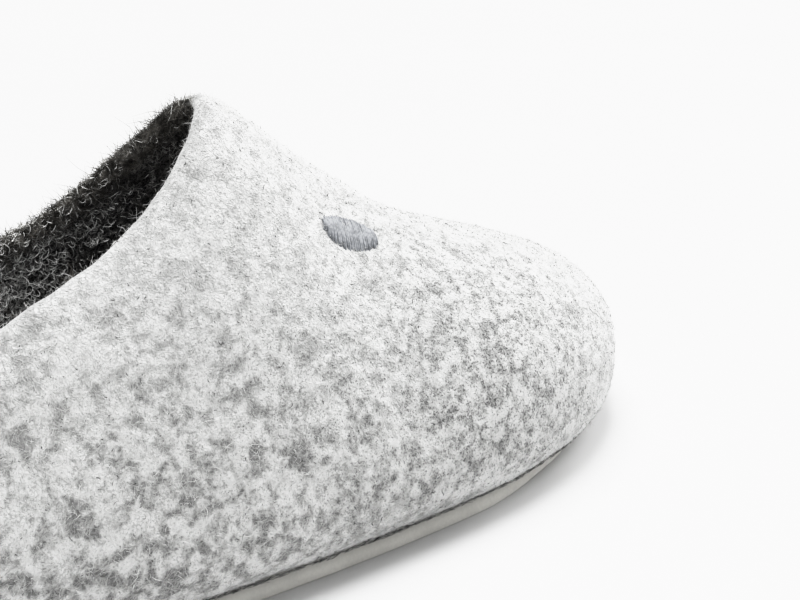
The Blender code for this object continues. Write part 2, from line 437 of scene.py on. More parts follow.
def felt_rows(columns, apex_x):
    """Rings of the outer face of the felt, from the sole up to the collar and the ridge."""
    rows = []
    tuck = sole_tuck(columns)
    x, y = outline_inset(columns, tuck)
    tip = hem_tip(x)
    foot = FOOT_LIFT - FOOT_DROP_AT_TIP * tip
    foot = foot + relief(np.stack([x, y, 0.0 * x], axis=1), FOOT_LUMPS)
    tuck = tuck - FOOT_OUT - FOOT_OUT_AT_TIP * tip
    for inset, lift in ((FOOT_TURN_IN + FOOT_TURN_IN_AT_TIP * tip, 0.1), (0.25, -0.05)):
        x, y = outline_inset(columns, tuck + inset)
        rows.append(np.stack([x, y, sole_top(x) + foot + lift], axis=1))
    for step in range(WALL_ROWS):
        lift = step / WALL_ROWS
        x, y = outline_inset(columns, tuck * (1.0 - lift) ** BULGE_POWER)
        rise = (widest_rise(x) - foot - FOOT_ROUNDING) * lift
        rows.append(np.stack([x, y, sole_top(x) + foot + FOOT_ROUNDING + rise], axis=1))
    ends = np.zeros(len(columns))
    for n, column in enumerate(columns):
        if not column.closed:
            ends[n] = collar_share(column.x0 + 0.85 * column.ahead, apex_x, column.across > 0.0)
    for step in range(TOP_ROWS + 1):
        shares = 1.0 - (1.0 - ends) * (step / TOP_ROWS) ** 1.4
        x, y = plan_at(columns, shares)
        rows.append(np.stack([x, y, top_height(x, shares)], axis=1))
    return rows


def felt_relief(points):
    """How far the felt stands out of its plain form, in millimetres."""
    out = sum(relief(points, lumps) for lumps in FELT_LUMPS)
    for dent in DENTS:
        away = np.linalg.norm(points - (dent.x, dent.y, dent.z), axis=1) / dent.reach
        out += dent.out * np.exp(-away ** 2)
    return out


# Fibres

def scatter(points, faces, count, seed, weight=None):
    """Random places on faces: points, outward normals, a direction along the face, and the random source."""
    pick = np.random.default_rng(seed)
    tris = [(f[0], f[i], f[i + 1]) for f in faces for i in range(1, len(f) - 1)]
    corner = points[np.array(tris)]
    normal = np.cross(corner[:, 1] - corner[:, 0], corner[:, 2] - corner[:, 0])
    area = np.linalg.norm(normal, axis=1)
    share = area if weight is None else area * weight(corner.mean(axis=1))
    chosen = pick.choice(len(tris), size=count, p=share / share.sum())
    u, v = pick.random(count), pick.random(count)
    over = u + v > 1.0
    u[over], v[over] = 1.0 - u[over], 1.0 - v[over]
    tri = corner[chosen]
    u, v = u[:, None], v[:, None]
    root = tri[:, 0] + u * (tri[:, 1] - tri[:, 0]) + v * (tri[:, 2] - tri[:, 0])
    out = normal[chosen] / (area[chosen][:, None] + 1e-12)
    other = pick.normal(size=(count, 3))
    along = np.cross(out, other)
    along = along / (np.linalg.norm(along, axis=1)[:, None] + 1e-12)
    return root, out, along, pick


def ribbons(name, line, width, taper, seed, material, facing=None):
    """One mesh of thin flat fibres; line holds the points of each fibre's middle, root first.

    Facing, where it is given, is the way that the flat side of each fibre looks, more or less.
    """
    count, steps = line.shape[:2]
    pick = np.random.default_rng(seed)
    heading = np.gradient(line, axis=1)
    turned = pick.normal(size=(count, 1, 3))
    if facing is not None:
        turned = facing[:, None, :] + FIBRE_TWIST * turned
    side = np.cross(heading, turned)
    side = side / (np.linalg.norm(side, axis=2)[:, :, None] + 1e-12)
    shape = 1.0 - taper * np.linspace(0.0, 1.0, steps) ** 2
    half = 0.5 * width[:, None] * shape[None, :]
    pair = np.stack([line - side * half[:, :, None], line + side * half[:, :, None]], axis=2)
    points = (pair.reshape(-1, 3) * MM).astype(np.float32)
    first = (np.arange(count)[:, None] * steps + np.arange(steps - 1)[None, :]) * 2
    quads = np.stack([first, first + 1, first + 3, first + 2], axis=2)
    quads = quads.reshape(-1, 4).astype(np.int32)
    mesh = bpy.data.meshes.new(name)
    mesh.vertices.add(len(points))
    mesh.vertices.foreach_set("co", points.ravel())
    mesh.loops.add(quads.size)
    mesh.polygons.add(len(quads))
    mesh.polygons.foreach_set("loop_start", np.arange(0, quads.size, 4, dtype=np.int32))
    mesh.polygons.foreach_set("vertices", quads.ravel())
    mesh.update(calc_edges=True)
    return place_piece(name, mesh, material)


def short_fuzz(name, points, faces, fuzz, material, weight=None):
    """Short bent fibres that stand and lie on the felt."""
    count = fuzz.count
    root, out, along, pick = scatter(points, faces, count, fuzz.seed, weight)
    cross = np.cross(out, along)
    long = fuzz.length * np.exp(pick.normal(0.0, 0.45, count))[:, None]
    rise = pick.uniform(0.12, 0.75, count)[:, None]
    curl = pick.uniform(-0.7, 0.7, count)[:, None]
    droop = pick.uniform(0.0, 0.55, count)[:, None]
    lines = []
    for t in np.linspace(0.0, 1.0, 3):
        ahead = long * t * np.sqrt(1.0 - rise ** 2)
        lines.append(root - 0.08 * out + along * ahead + cross * long * curl * t * t
                     + out * long * (rise * t - rise * droop * t * t))
    line = np.stack(lines, axis=1)
    wide = fuzz.width * pick.uniform(0.7, 1.3, count)
    return ribbons(name, line, wide, 0.7, fuzz.seed + 50, material, out)


def curly_fibres(name, points, faces, curls, material, weight=None):
    """Longer curly fibres that lie over the felt in arcs and hooks."""
    count, steps = curls.count, curls.steps
    root, out, along, pick = scatter(points, faces, count, curls.seed, weight)
    cross = np.cross(out, along)
    long = curls.length * np.exp(np.clip(pick.normal(0.0, 0.35, count), -0.8, 0.5))
    turn = pick.choice((-1.0, 1.0), count) * pick.uniform(0.6, 3.6, count)
    high = curls.lift * pick.uniform(0.1, 1.0, count)
    lines = []
    place = root - along * (0.5 * long)[:, None]
    for n in range(steps):
        t = n / (steps - 1)
        angle = turn * (t - 0.5)
        stand = high * (0.1 + math.sin(math.pi * t))
        lines.append(place + out * stand[:, None])
        ahead = (long / (steps - 1))[:, None]
        place = place + ahead * (np.cos(angle)[:, None] * along + np.sin(angle)[:, None] * cross)
    line = np.stack(lines, axis=1)
    over = (line[:, :, 2] - through_rows(COLLAR, APEX_X - line[:, :, 0])).max(axis=1)
    allowed = np.where(root[:, 1] < 0.0, CURL_RISE_OUTER, CURL_RISE_ARCH)
    kept = (over < allowed) | (root[:, 0] > APEX_X)
    line = line[kept]
    wide = curls.width * pick.uniform(0.6, 1.4, len(line))
    return ribbons(name, line, wide, 0.5, curls.seed + 60, material, out[kept])


# Materials

def new_group(name, inputs, outputs):
    group = bpy.data.node_groups.new(name, "ShaderNodeTree")
    for label, value in inputs:
        socket = group.interface.new_socket(name=label, in_out="INPUT", socket_type="NodeSocketFloat")
        socket.default_value = value
    for label in outputs:
        group.interface.new_socket(name=label, in_out="OUTPUT", socket_type="NodeSocketFloat")
    start = group.nodes.new("NodeGroupInput")
    end = group.nodes.new("NodeGroupOutput")
    return group, start, end


class Net:
    """Short hand for making nodes and joining them."""

    def __init__(self, tree):
        self.tree = tree

    def node(self, kind, **settings):
        made = self.tree.nodes.new(kind)
        for key, value in settings.items():
            setattr(made, key, value)
        return made

    def link(self, source, target):
        self.tree.links.new(source, target)

    def put(self, value, target):
        if isinstance(value, (int, float)):
            target.default_value = value
        else:
            self.link(value, target)

    def maths(self, operation, a, b=None, c=None, clamp=False):
        made = self.node("ShaderNodeMath", operation=operation, use_clamp=clamp)
        for value, socket in zip((a, b, c), made.inputs):
            if value is not None:
                self.put(value, socket)
        return made.outputs[0]

    def noise(self, place, scale, detail=2.0, rough=0.5, warp=0.0):
        made = self.node("ShaderNodeTexNoise")
        self.link(place, made.inputs["Vector"])
        self.put(scale, made.inputs["Scale"])
        made.inputs["Detail"].default_value = detail
        made.inputs["Roughness"].default_value = rough
        self.put(warp, made.inputs["Distortion"])
        return made.outputs["Fac"]

    def ramp(self, value, low, high, out_low=0.0, out_high=1.0):
        made = self.node("ShaderNodeMapRange", interpolation_type="SMOOTHSTEP")
        self.put(value, made.inputs["Value"])
        limits = {"From Min": low, "From Max": high, "To Min": out_low, "To Max": out_high}
        for label, number in limits.items():
            self.put(number, made.inputs[label])
        return made.outputs["Result"]

    def blend(self, share, first, second):
        made = self.node("ShaderNodeMix", data_type="RGBA")
        self.put(share, made.inputs["Factor"])
        a = [s for s in made.inputs if s.name == "A" and s.type == "RGBA"][0]
        b = [s for s in made.inputs if s.name == "B" and s.type == "RGBA"][0]
        for value, socket in ((first, a), (second, b)):
            if isinstance(value, tuple):
                socket.default_value = (*value, 1.0)
            else:
                self.link(value, socket)
        return [s for s in made.outputs if s.type == "RGBA"][0]

    def moved(self, place, shift):
        made = self.node("ShaderNodeVectorMath", operation="ADD")
        self.link(place, made.inputs[0])
        made.inputs[1].default_value = shift
        return made.outputs[0]

    def group(self, group, **values):
        made = self.node("ShaderNodeGroup")
        made.node_tree = group
        for label, value in values.items():
            self.put(value, made.inputs[label.replace("_", " ")])
        return made


def make_strand_group():
    """Curly wool strands: thin winding lines, and their height."""
    inputs = (("Strand Scale", 420.0), ("Strand Width", 0.05), ("Warp", 0.6))
    group, start, end = new_group("wool_strands", inputs, ("Strands", "Height"))
    net = Net(group)
    place = net.node("ShaderNodeTexCoord").outputs["Object"]
    lines = []
    for shift, times in (((0.0, 0.0, 0.0), 1.0), ((3.1, 1.7, 5.3), 1.37), ((7.9, 4.1, 2.2), 0.74)):
        scale = net.maths("MULTIPLY", start.outputs["Strand Scale"], times)
        field = net.noise(net.moved(place, shift), scale, 1.5, 0.5, start.outputs["Warp"])
        away = net.maths("ABSOLUTE", net.maths("SUBTRACT", field, 0.5))
        lines.append(net.ramp(away, 0.0, start.outputs["Strand Width"], 1.0, 0.0))
    most = net.maths("MAXIMUM", net.maths("MAXIMUM", lines[0], lines[1]), lines[2])
    fine = net.noise(place, net.maths("MULTIPLY", start.outputs["Strand Scale"], 3.1), 2.0, 0.6)
    net.link(most, end.inputs["Strands"])
    height = net.maths("MULTIPLY_ADD", most, 0.6, net.maths("MULTIPLY", fine, 0.4))
    net.link(height, end.inputs["Height"])
    return group


def make_marl_group():
    """Marl of light and dark wool: grey mottles of two sizes, and fine dark flecks."""
    inputs = (("Mottle Scale", 640.0), ("Fleck Scale", 2000.0))
    group, start, end = new_group("wool_marl", inputs, ("Mottles", "Flecks"))
    net = Net(group)
    place = net.node("ShaderNodeTexCoord").outputs["Object"]
    fine = net.noise(net.moved(place, (1.3, 8.2, 4.4)), start.outputs["Mottle Scale"], 3.0, 0.6, 0.5)
    wide = net.maths("MULTIPLY", start.outputs["Mottle Scale"], 0.55)
    coarse = net.noise(net.moved(place, (4.7, 3.6, 9.1)), wide, 1.0, 0.5, 0.4)
    fleck = net.noise(net.moved(place, (6.6, 2.9, 7.7)), start.outputs["Fleck Scale"], 1.5, 0.55, 0.4)
    cloud = net.noise(net.moved(place, (2.4, 5.8, 1.9)), net.maths("MULTIPLY", wide, 0.45), 1.0, 0.5)
    density = net.maths("MULTIPLY", net.maths("SUBTRACT", cloud, 0.5), 0.23)
    dark = net.maths("MULTIPLY_ADD", coarse, 0.5, net.maths("MULTIPLY_ADD", fine, 0.5, density))
    net.link(net.ramp(dark, 0.42, 0.63), end.inputs["Mottles"])
    both = net.maths("MULTIPLY_ADD", dark, 0.6, fleck)
    net.link(net.ramp(both, 0.85, 0.905), end.inputs["Flecks"])
    return group


def make_edge_sheen_group():
    """Painted sheen: wool seen edge-on is painted paler, standing in for the standing fibres that catch the
    light there, and the marl is hidden.
    """
    group, start, end = new_group("painted_edge_sheen", (("Facing", 0.0), ("Most", 0.8)), ("Share",))
    net = Net(group)
    share = net.ramp(start.outputs["Facing"], 0.68, 0.97, 0.0, start.outputs["Most"])
    net.link(share, end.inputs["Share"])
    return group


def new_material(name):
    material = bpy.data.materials.new(name)
    material.use_nodes = True
    net = Net(material.node_tree)
    return material, net, material.node_tree.nodes["Principled BSDF"]


def bump(net, shader, height, strength, distance):
    made = net.node("ShaderNodeBump")
    made.inputs["Strength"].default_value = strength
    made.inputs["Distance"].default_value = distance * MM
    net.link(height, made.inputs["Height"])
    net.link(made.outputs["Normal"], shader.inputs["Normal"])


def paint_edge_sheen(net, edge, colour, most):
    facing = net.node("ShaderNodeLayerWeight").outputs["Facing"]
    pale = net.group(edge, Facing=facing, Most=most)
    return net.blend(pale.outputs["Share"], colour, PAINTED_EDGE_SHEEN)


def grey_felt_material(strands, marl, edge):
    material, net, shader = new_material("grey_felt_marl")
    spots = net.group(marl, **TOE_MARL)
    broad = net.group(marl, **SIDE_MARL)
    wool = net.group(strands, Strand_Scale=520.0, Strand_Width=0.045, Warp=0.7)
    split = net.node("ShaderNodeSeparateXYZ")
    net.link(net.node("ShaderNodeTexCoord").outputs["Object"], split.inputs[0])
    soft = net.ramp(split.outputs["X"], *MARL_FADES_X, 1.0, 0.42)
    # Fewer mottles and flecks up towards the instep: partly the wool's own, partly painted light, the top of
    # the felt painted paler where the light from above falls
    pale = net.ramp(split.outputs["Z"], *PALER_MARL_AND_PAINTED_LIGHT_Z, 1.0, 0.45)
    sparse = net.ramp(split.outputs["Z"], *PALER_MARL_AND_PAINTED_LIGHT_Z, 0.82, 0.7)
    crisp = net.ramp(split.outputs["X"], *FLECKS_CRISP_X, 0.45, 1.0)
    to_toe = net.ramp(split.outputs["X"], *MARL_FINER_X)
    finer = net.maths("SUBTRACT", spots.outputs["Mottles"], broad.outputs["Mottles"])
    marled = net.maths("MULTIPLY_ADD", finer, to_toe, broad.outputs["Mottles"])
    mottle = net.maths("MULTIPLY", marled, net.maths("MULTIPLY", soft, pale))
    fleck = net.maths("MULTIPLY", spots.outputs["Flecks"], net.maths("MULTIPLY", crisp, sparse))
    base = net.blend(mottle, PALE_WOOL, GREY_WOOL)
    base = net.blend(fleck, base, FLECK_WOOL)
    base = net.blend(net.maths("MULTIPLY", wool.outputs["Strands"], 0.25), base, STRAND_WOOL)
    # The felt is painted paler where it is seen edge-on: a painted sheen
    net.link(paint_edge_sheen(net, edge, base, FELT_PAINTED_SHEEN), shader.inputs["Base Color"])
    shader.inputs["Roughness"].default_value = 0.95
    shader.inputs["Specular IOR Level"].default_value = 0.15
    shader.inputs["Sheen Weight"].default_value = 0.6
    shader.inputs["Sheen Roughness"].default_value = 0.5
    height = net.maths("SUBTRACT", wool.outputs["Height"], net.maths("MULTIPLY", marled, 0.5))
    bump(net, shader, height, 0.6, 0.5)
    return material


def fuzz_material(wool, marl, edge=None):
    material, net, shader = new_material(wool.name)
    spots = net.group(marl, **TOE_MARL)
    tone = net.maths("MULTIPLY", spots.outputs["Mottles"], wool.share)
    colour = net.blend(tone, wool.clear, wool.mottled)
    # Fibres seen edge-on are painted paler: a painted sheen
    if edge:
        colour = paint_edge_sheen(net, edge, colour, FUZZ_PAINTED_SHEEN)
    net.link(colour, shader.inputs["Base Color"])
    shader.inputs["Roughness"].default_value = 0.8
    shader.inputs["Specular IOR Level"].default_value = 0.2
    return material


def charcoal_felt_material(name, strands, marl, strand_share):
    material, net, shader = new_material(name)
    spots = net.group(marl, **LINING_MARL)
    wool = net.group(strands, Strand_Scale=560.0, Strand_Width=0.05, Warp=0.9)
    base = net.blend(spots.outputs["Mottles"], BLACK_WOOL, CHARCOAL_WOOL)
    strand = net.maths("MULTIPLY", wool.outputs["Strands"], strand_share)
    base = net.blend(strand, base, CHARCOAL_STRAND)
    net.link(base, shader.inputs["Base Color"])
    shader.inputs["Roughness"].default_value = 0.95
    shader.inputs["Specular IOR Level"].default_value = 0.1
    shader.inputs["Sheen Weight"].default_value = 0.08
    bump(net, shader, wool.outputs["Height"], 0.7, 0.5)
    return material


def rubber_material():
    material, net, shader = new_material("sole_rubber_satin")
    place = net.node("ShaderNodeTexCoord").outputs["Object"]
    split = net.node("ShaderNodeSeparateXYZ")
    net.link(place, split.inputs[0])
    cloud = net.noise(place, 120.0, 3.0, 0.55)
    grit = net.noise(place, 1500.0, 2.0, 0.6)
    # Painted light and shade by height over the sole: paler towards its foot, next to the lit floor, and
    # darker towards its top, where the overhanging felt shades it
    start = (TOE_TIP_X - TOE_SPRING_LENGTH) * MM
    ahead = net.maths("SUBTRACT", split.outputs["X"], start)
    run = net.maths("DIVIDE", ahead, TOE_SPRING_LENGTH * MM, clamp=True)
    spring = net.maths("MULTIPLY", net.maths("MULTIPLY", run, run), TOE_SPRING * MM)
    upper = net.ramp(net.maths("SUBTRACT", split.outputs["Z"], spring), 0.0012, 0.0046)
    mixed = net.maths("MULTIPLY_ADD", grit, 0.35, net.maths("MULTIPLY", cloud, 0.65))
    tone = net.ramp(mixed, 0.3, 0.7, 0.0, 0.3)
    colour = net.blend(upper, RUBBER_FOOT_PAINTED_LIGHT, RUBBER_TOP_PAINTED_SHADE)
    net.link(net.blend(tone, colour, RUBBER_CLOUD), shader.inputs["Base Color"])
    net.link(net.ramp(cloud, 0.3, 0.7, 0.42, 0.58), shader.inputs["Roughness"])
    shader.inputs["Specular IOR Level"].default_value = 0.4
    flat = net.node("ShaderNodeVectorMath", operation="MULTIPLY")
    net.link(place, flat.inputs[0])
    flat.inputs[1].default_value = (160.0, 160.0, 2600.0)
    lines = net.noise(flat.outputs[0], 1.0, 3.0, 0.6)
    height = net.maths("MULTIPLY_ADD", lines, 0.5, net.maths("MULTIPLY", grit, 0.5))
    bump(net, shader, height, 0.25, 0.12)
    return material


def thread_material():
    material, net, shader = new_material("slate_thread")
    place = net.node("ShaderNodeTexCoord").outputs["Object"]
    tone = net.ramp(net.noise(place, 900.0, 2.0, 0.5), 0.3, 0.7)
    net.link(net.blend(tone, THREAD_DARK, THREAD_LIGHT), shader.inputs["Base Color"])
    shader.inputs["Roughness"].default_value = 0.45
    shader.inputs["Sheen Weight"].default_value = 0.2
    return material


def floor_material():
    material, net, shader = new_material("pale_floor")
    place = net.node("ShaderNodeTexCoord").outputs["Object"]
    tone = net.ramp(net.noise(place, 3.0, 3.0, 0.5), 0.3, 0.7)
    net.link(net.blend(tone, FLOOR_DIM, FLOOR_PALE), shader.inputs["Base Color"])
    shader.inputs["Roughness"].default_value = 0.7
    shader.inputs["Specular IOR Level"].default_value = 0.2
    return material


# Pieces

def make_felt(felt, lining):
    """Felt wall: the grey outside with the round of the collar, and the charcoal inside."""
    apex_x = APEX_X + LIP_SETBACK
    columns = columns_round(apex_x)
    rows = felt_rows(columns, apex_x)
    points, numbers = weld(rows)
    rings = [list(row) for row in numbers]
    faces = ring_faces(rings)
    wall_faces = ring_faces(rings[2:])
    normals = point_normals(points, faces)
    outside = points + normals * felt_relief(points)[:, None]
    inside = points - normals * FELT_THICKNESS
    inside = inside + normals * relief(points, LINING_LUMPS)[:, None]
    open_columns = [n for n, column in enumerate(columns) if not column.closed]
    rim = [rings[-1][0]] + [rings[-1][n] for n in open_columns]
    along = np.roll(points[rim], -1, axis=0) - np.roll(points[rim], 1, axis=0)
    rise = np.cross(normals[rim], along)
    rise = rise / np.linalg.norm(rise, axis=1)[:, None]
    middle = 0.5 * (outside[rim] + inside[rim])
    half = 0.5 * np.linalg.norm(outside[rim] - inside[rim], axis=1)[:, None]
    uneven = relief(points[rim], RIM_LUMPS)[:, None]
    behind = apex_x - points[rim][:, :1]
    across = points[rim][:, 1:2]
    near_apex = np.exp(-(behind / 7.0) ** 2) * (0.5 - 0.5 * np.tanh((across - 4.0) / 2.0))
    seam = math.pi * (SEAM_MIDDLE - SEAM_LEAN * np.tanh(across / 12.0) + SEAM_AT_APEX * near_apex)
    seam = seam + relief(points[rim], SEAM_LUMPS)[:, None]
    lip = []
    for step in range(1, LIP_STEPS):
        if step <= LIP_STEPS_OUTSIDE:
            turn = seam * step / LIP_STEPS_OUTSIDE
        else:
            inward = (step - LIP_STEPS_OUTSIDE) / (LIP_STEPS - LIP_STEPS_OUTSIDE)
            turn = seam + (math.pi - seam) * inward
        lip.append(middle + half * np.cos(turn) * normals[rim] + (half + uneven) * np.sin(turn) * rise)
    count, width = len(points), len(rim)
    shown = np.concatenate([outside] + lip[:LIP_STEPS_OUTSIDE])
    lip_rings = [rim] + [list(range(count + i * width, count + (i + 1) * width))
                         for i in range(LIP_STEPS_OUTSIDE)]
    outer_faces = faces + ring_faces(lip_rings)
    add_piece("felt_outside", shown, outer_faces, felt, "upper")
    hidden = np.concatenate([inside] + lip[LIP_STEPS_OUTSIDE - 1:])
    rest = LIP_STEPS - LIP_STEPS_OUTSIDE
    inner_rings = [list(range(count + i * width, count + (i + 1) * width)) for i in range(rest)]
    rim_faces = ring_faces(inner_rings + [rim])
    inner_faces = [tuple(reversed(face)) for face in wall_faces] + rim_faces
    add_piece("felt_lining", hidden, inner_faces, lining)
    return shown, outer_faces, hidden, inner_faces, rim_faces


def sheet(columns, inset, bottom, thickness, rounding, flare):
    """Points and faces of a cut sheet that follows the toe spring, with rounded edges that may lean."""
    spine = np.stack(plan_at(columns, np.zeros(len(columns))), axis=1)
    rows = []

    def ring(drawn_in, lift, share=1.0):
        plan = np.stack(outline_inset(columns, inset + drawn_in - flare * lift / thickness), axis=1)
        plan = spine + (plan - spine) * share
        rows.append(np.column_stack([plan, toe_spring(plan[:, 0]) + bottom + lift]))

    for share in np.linspace(0.0, 1.0, 9):
        ring(rounding, 0.0, share)
    for turn in np.radians((30.0, 60.0, 90.0)):
        ring(rounding * (1.0 - math.sin(turn)), rounding * (1.0 - math.cos(turn)))
    for turn in np.radians((90.0, 60.0, 30.0)):
        ring(rounding * (1.0 - math.sin(turn)), thickness - rounding * (1.0 - math.cos(turn)))
    for share in np.linspace(1.0, 0.0, 9):
        ring(rounding, thickness, share)
    points, numbers = weld(rows)
    return points, ring_faces([list(row) for row in numbers])


def make_sole(columns, material):
    """Rubber sole: its edge shows at the sides and is cut back under the toe."""
    tuck = sole_tuck(columns)
    x = outline_inset(columns, tuck)[0]
    edge = tuck - SOLE_EDGE_OUT
    for cut in SOLE_CUTS:
        edge = edge + cut.depth * ease((x - cut.start_x) / cut.run)
    points, faces = sheet(columns, edge, 0.0, SOLE_THICKNESS, SOLE_EDGE_ROUNDING, SOLE_EDGE_FLARE)
    add_piece("rubber_sole", points, faces, material, "outsole")


def make_insole(columns, material):
    """Felt insole on the sole, a little worn on top."""
    inset = sole_tuck(columns) + FELT_THICKNESS + PIECE_GAP
    bottom = SOLE_THICKNESS + PIECE_GAP
    points, faces = sheet(columns, inset, bottom, INSOLE_THICKNESS, INSOLE_EDGE_ROUNDING, INSOLE_EDGE_FLARE)
    top = points[:, 2] > bottom + INSOLE_THICKNESS * 0.9 + toe_spring(points[:, 0])
    points[top, 2] += insole_wear(points[top])
    add_piece("felt_insole", points, faces, material, "insole")
    return points, faces


def insole_wear(points):
    """Shallow hollows under heel and ball, and the unevenness of felt."""
    heel = -0.6 * np.exp(-((points[:, 0] + 92.0) / 30.0) ** 2 - (points[:, 1] / 22.0) ** 2)
    ball = -0.5 * np.exp(-((points[:, 0] - 48.0) / 34.0) ** 2 - ((points[:, 1] - 2.0) / 30.0) ** 2)
    return heel + ball + relief(points, INSOLE_LUMPS)


def near_collar(centres):
    """More fibres near the rim of the collar than deep in the slipper."""
    height = through_rows(COLLAR, APEX_X - centres[:, 0])
    near = np.exp(-np.clip(height - centres[:, 2], 0.0, None) / 25.0)
    return (0.3 + near) * (0.04 + 0.96 * ease((APEX_X + 25.0 - centres[:, 0]) / 25.0))


def behind_instep(centres):
    """Pale fibres all over the inside of the quarters, fewer under the instep and round the heel; the fewer
    fibres under the instep are partly the lining's own and partly painted shade, where the instep shades the
    lining.
    """
    heel = ease((APEX_X - 75.0 - centres[:, 0]) / 35.0)
    return 0.03 + ease((APEX_X - centres[:, 0]) / 60.0) * (1.0 - 0.75 * heel) * (centres[:, 2] > 18.0)


def on_the_arch_side(centres):
    """Fuzz of the lining on the rim of the arch side, little on the outer side."""
    return 0.06 + 0.94 * ease((centres[:, 1] - 2.0) / 6.0)


def more_at_the_toe(centres):
    """More dark fibres on the toe than on the sides and the heel."""
    return 0.2 + 0.8 * ease((centres[:, 0] + 10.0) / 90.0)


def under_the_foot(centres):
    """Fibres only on the upper face of the insole, most of them behind the instep."""
    level = SOLE_THICKNESS + PIECE_GAP + 0.7 * INSOLE_THICKNESS
    top = centres[:, 2] > level + toe_spring(centres[:, 0])
    return top * (0.05 + 0.95 * ease((APEX_X + 30.0 - centres[:, 0]) / 30.0))


def stray_fibres(material):
    """Loose pale fibres that hang from the felt over the edge of the sole."""
    pick = np.random.default_rng(31)
    columns = columns_round()
    edge = np.stack(outline_inset(columns, sole_tuck(columns)), axis=1)
    out_x, out_y = outline_inset(columns, sole_tuck(columns) - 1.0)
    outward = np.stack([out_x, out_y], axis=1) - edge
    toe_side = [n for n, p in enumerate(edge) if p[0] > STRAY_FROM_X]
    lines = []
    for chosen in pick.choice(toe_side, STRAY_COUNT):
        start, out = edge[chosen], outward[chosen]
        along = np.array([-out[1], out[0]])
        reach = pick.uniform(1.2, 4.5)
        drop = pick.uniform(0.6, 3.4)
        hook = pick.uniform(-1.0, 1.0)
        path = []
        for t in np.linspace(0.0, 1.0, 10):
            flat = start + out * (0.25 + 0.8 * math.sin(math.pi * t) * pick.uniform(0.6, 1.0))
            flat = flat + along * reach * (t - 0.5) * (1.0 + 0.3 * hook * t)
            hang = drop * (math.sin(math.pi * t) ** 0.8) * (0.8 + 0.2 * hook)
            high = sole_top(flat[0]) + 1.2 - hang
            path.append((flat[0], flat[1], max(high, toe_spring(flat[0]) + 0.3)))
        lines.append(path)
    wide = pick.uniform(0.07, 0.14, STRAY_COUNT)
    ribbons("stray_fibres", np.array(lines), wide, 0.3, 77, material)


def seam_shade_and_lint(material):
    """Short dark fibres along the seam between felt and sole: partly lint caught in the seam, partly painted
    shade under the foot of the felt.
    """
    pick = np.random.default_rng(32)
    columns = columns_round()
    tuck = sole_tuck(columns)
    edge = np.stack(outline_inset(columns, tuck - FOOT_OUT - 0.15), axis=1)
    gap = np.linalg.norm(np.roll(edge, -1, axis=0) - edge, axis=1)
    chosen = pick.choice(len(edge), SEAM_SHADE_LINT_COUNT, p=gap / gap.sum())
    along = np.roll(edge, -1, axis=0)[chosen] - edge[chosen]
    start = edge[chosen] + along * pick.random((SEAM_SHADE_LINT_COUNT, 1))
    along = along / np.linalg.norm(along, axis=1)[:, None]
    high = sole_top(start[:, 0]) + FOOT_LIFT - FOOT_DROP_AT_TIP * hem_tip(start[:, 0])
    high = high + pick.normal(0.0, 0.22, SEAM_SHADE_LINT_COUNT)
    long = pick.uniform(0.6, 2.2, SEAM_SHADE_LINT_COUNT)
    slope = pick.normal(0.0, 0.18, SEAM_SHADE_LINT_COUNT)
    lines = []
    for t in (-0.5, 0.0, 0.5):
        flat = start + along * (long * t)[:, None]
        lines.append(np.column_stack([flat, high + long * t * slope]))
    line = np.stack(lines, axis=1)
    ribbons("seam_shade_and_lint", line, pick.uniform(0.06, 0.16, SEAM_SHADE_LINT_COUNT), 0.4, 78, material)


def surface_point(x, y):
    """Point and normal of the felt's outside over a plan point on the vamp or the toe."""
    def height(px, py):
        line = ridge_line(px) if px <= BALL_X else RIDGE_SHIFT
        side = -1 if py < line else 1
        return float(top_height(px, abs(py - line) / abs(side * half_width(px, side) - line)))
    z = height(x, y)
    step = 0.5
    slope_x = height(x - step, y) - height(x + step, y)
    slope_y = height(x, y - step) - height(x, y + step)
    normal = np.array([slope_x, slope_y, 2 * step])
    return np.array([x, y, z]), normal / np.linalg.norm(normal)


def stitched_oval(material):
    """Small plain oval of satin stitch on the vamp."""
    middle, facing = surface_point(OVAL_X, OVAL_Y)
    ahead = np.array([1.0, 0.0, 0.0])
    ahead = ahead - facing * (ahead @ facing)
    ahead = ahead / np.linalg.norm(ahead)
    aside = np.cross(facing, ahead)
    long_way = math.cos(OVAL_TURN) * ahead + math.sin(OVAL_TURN) * aside
    cross_way = np.cross(facing, long_way)
    pick = np.random.default_rng(41)
    points, faces = [], []
    for place in np.arange(-OVAL_LENGTH / 2 + 0.2, OVAL_LENGTH / 2, OVAL_THREAD * 0.8):
        reach = OVAL_WIDTH / 2 * math.sqrt(max(0.0, 1.0 - (2 * place / OVAL_LENGTH) ** 2))
        reach = reach + pick.uniform(0.1, 0.6)
        lean = pick.uniform(-0.25, 0.25)
        rings = []
        for s in np.linspace(-1.0, 1.0, 11):
            spot = middle + long_way * (place + lean * s) + cross_way * reach * s
            foot, out = surface_point(spot[0], spot[1])
            heart = foot + out * (OVAL_PADDING * math.sqrt(max(0.0, 1.0 - s * s)) - 0.2)
            ring = []
            for turn in np.linspace(0.0, 2 * math.pi, 6, endpoint=False):
                ring.append(len(points))
                away = math.cos(turn) * long_way + math.sin(turn) * out
                points.append(heart + OVAL_THREAD / 2 * away)
            rings.append(ring)
        faces += ring_faces(rings)
    add_piece("stitched_oval", np.array(points), faces, material)


# Studio

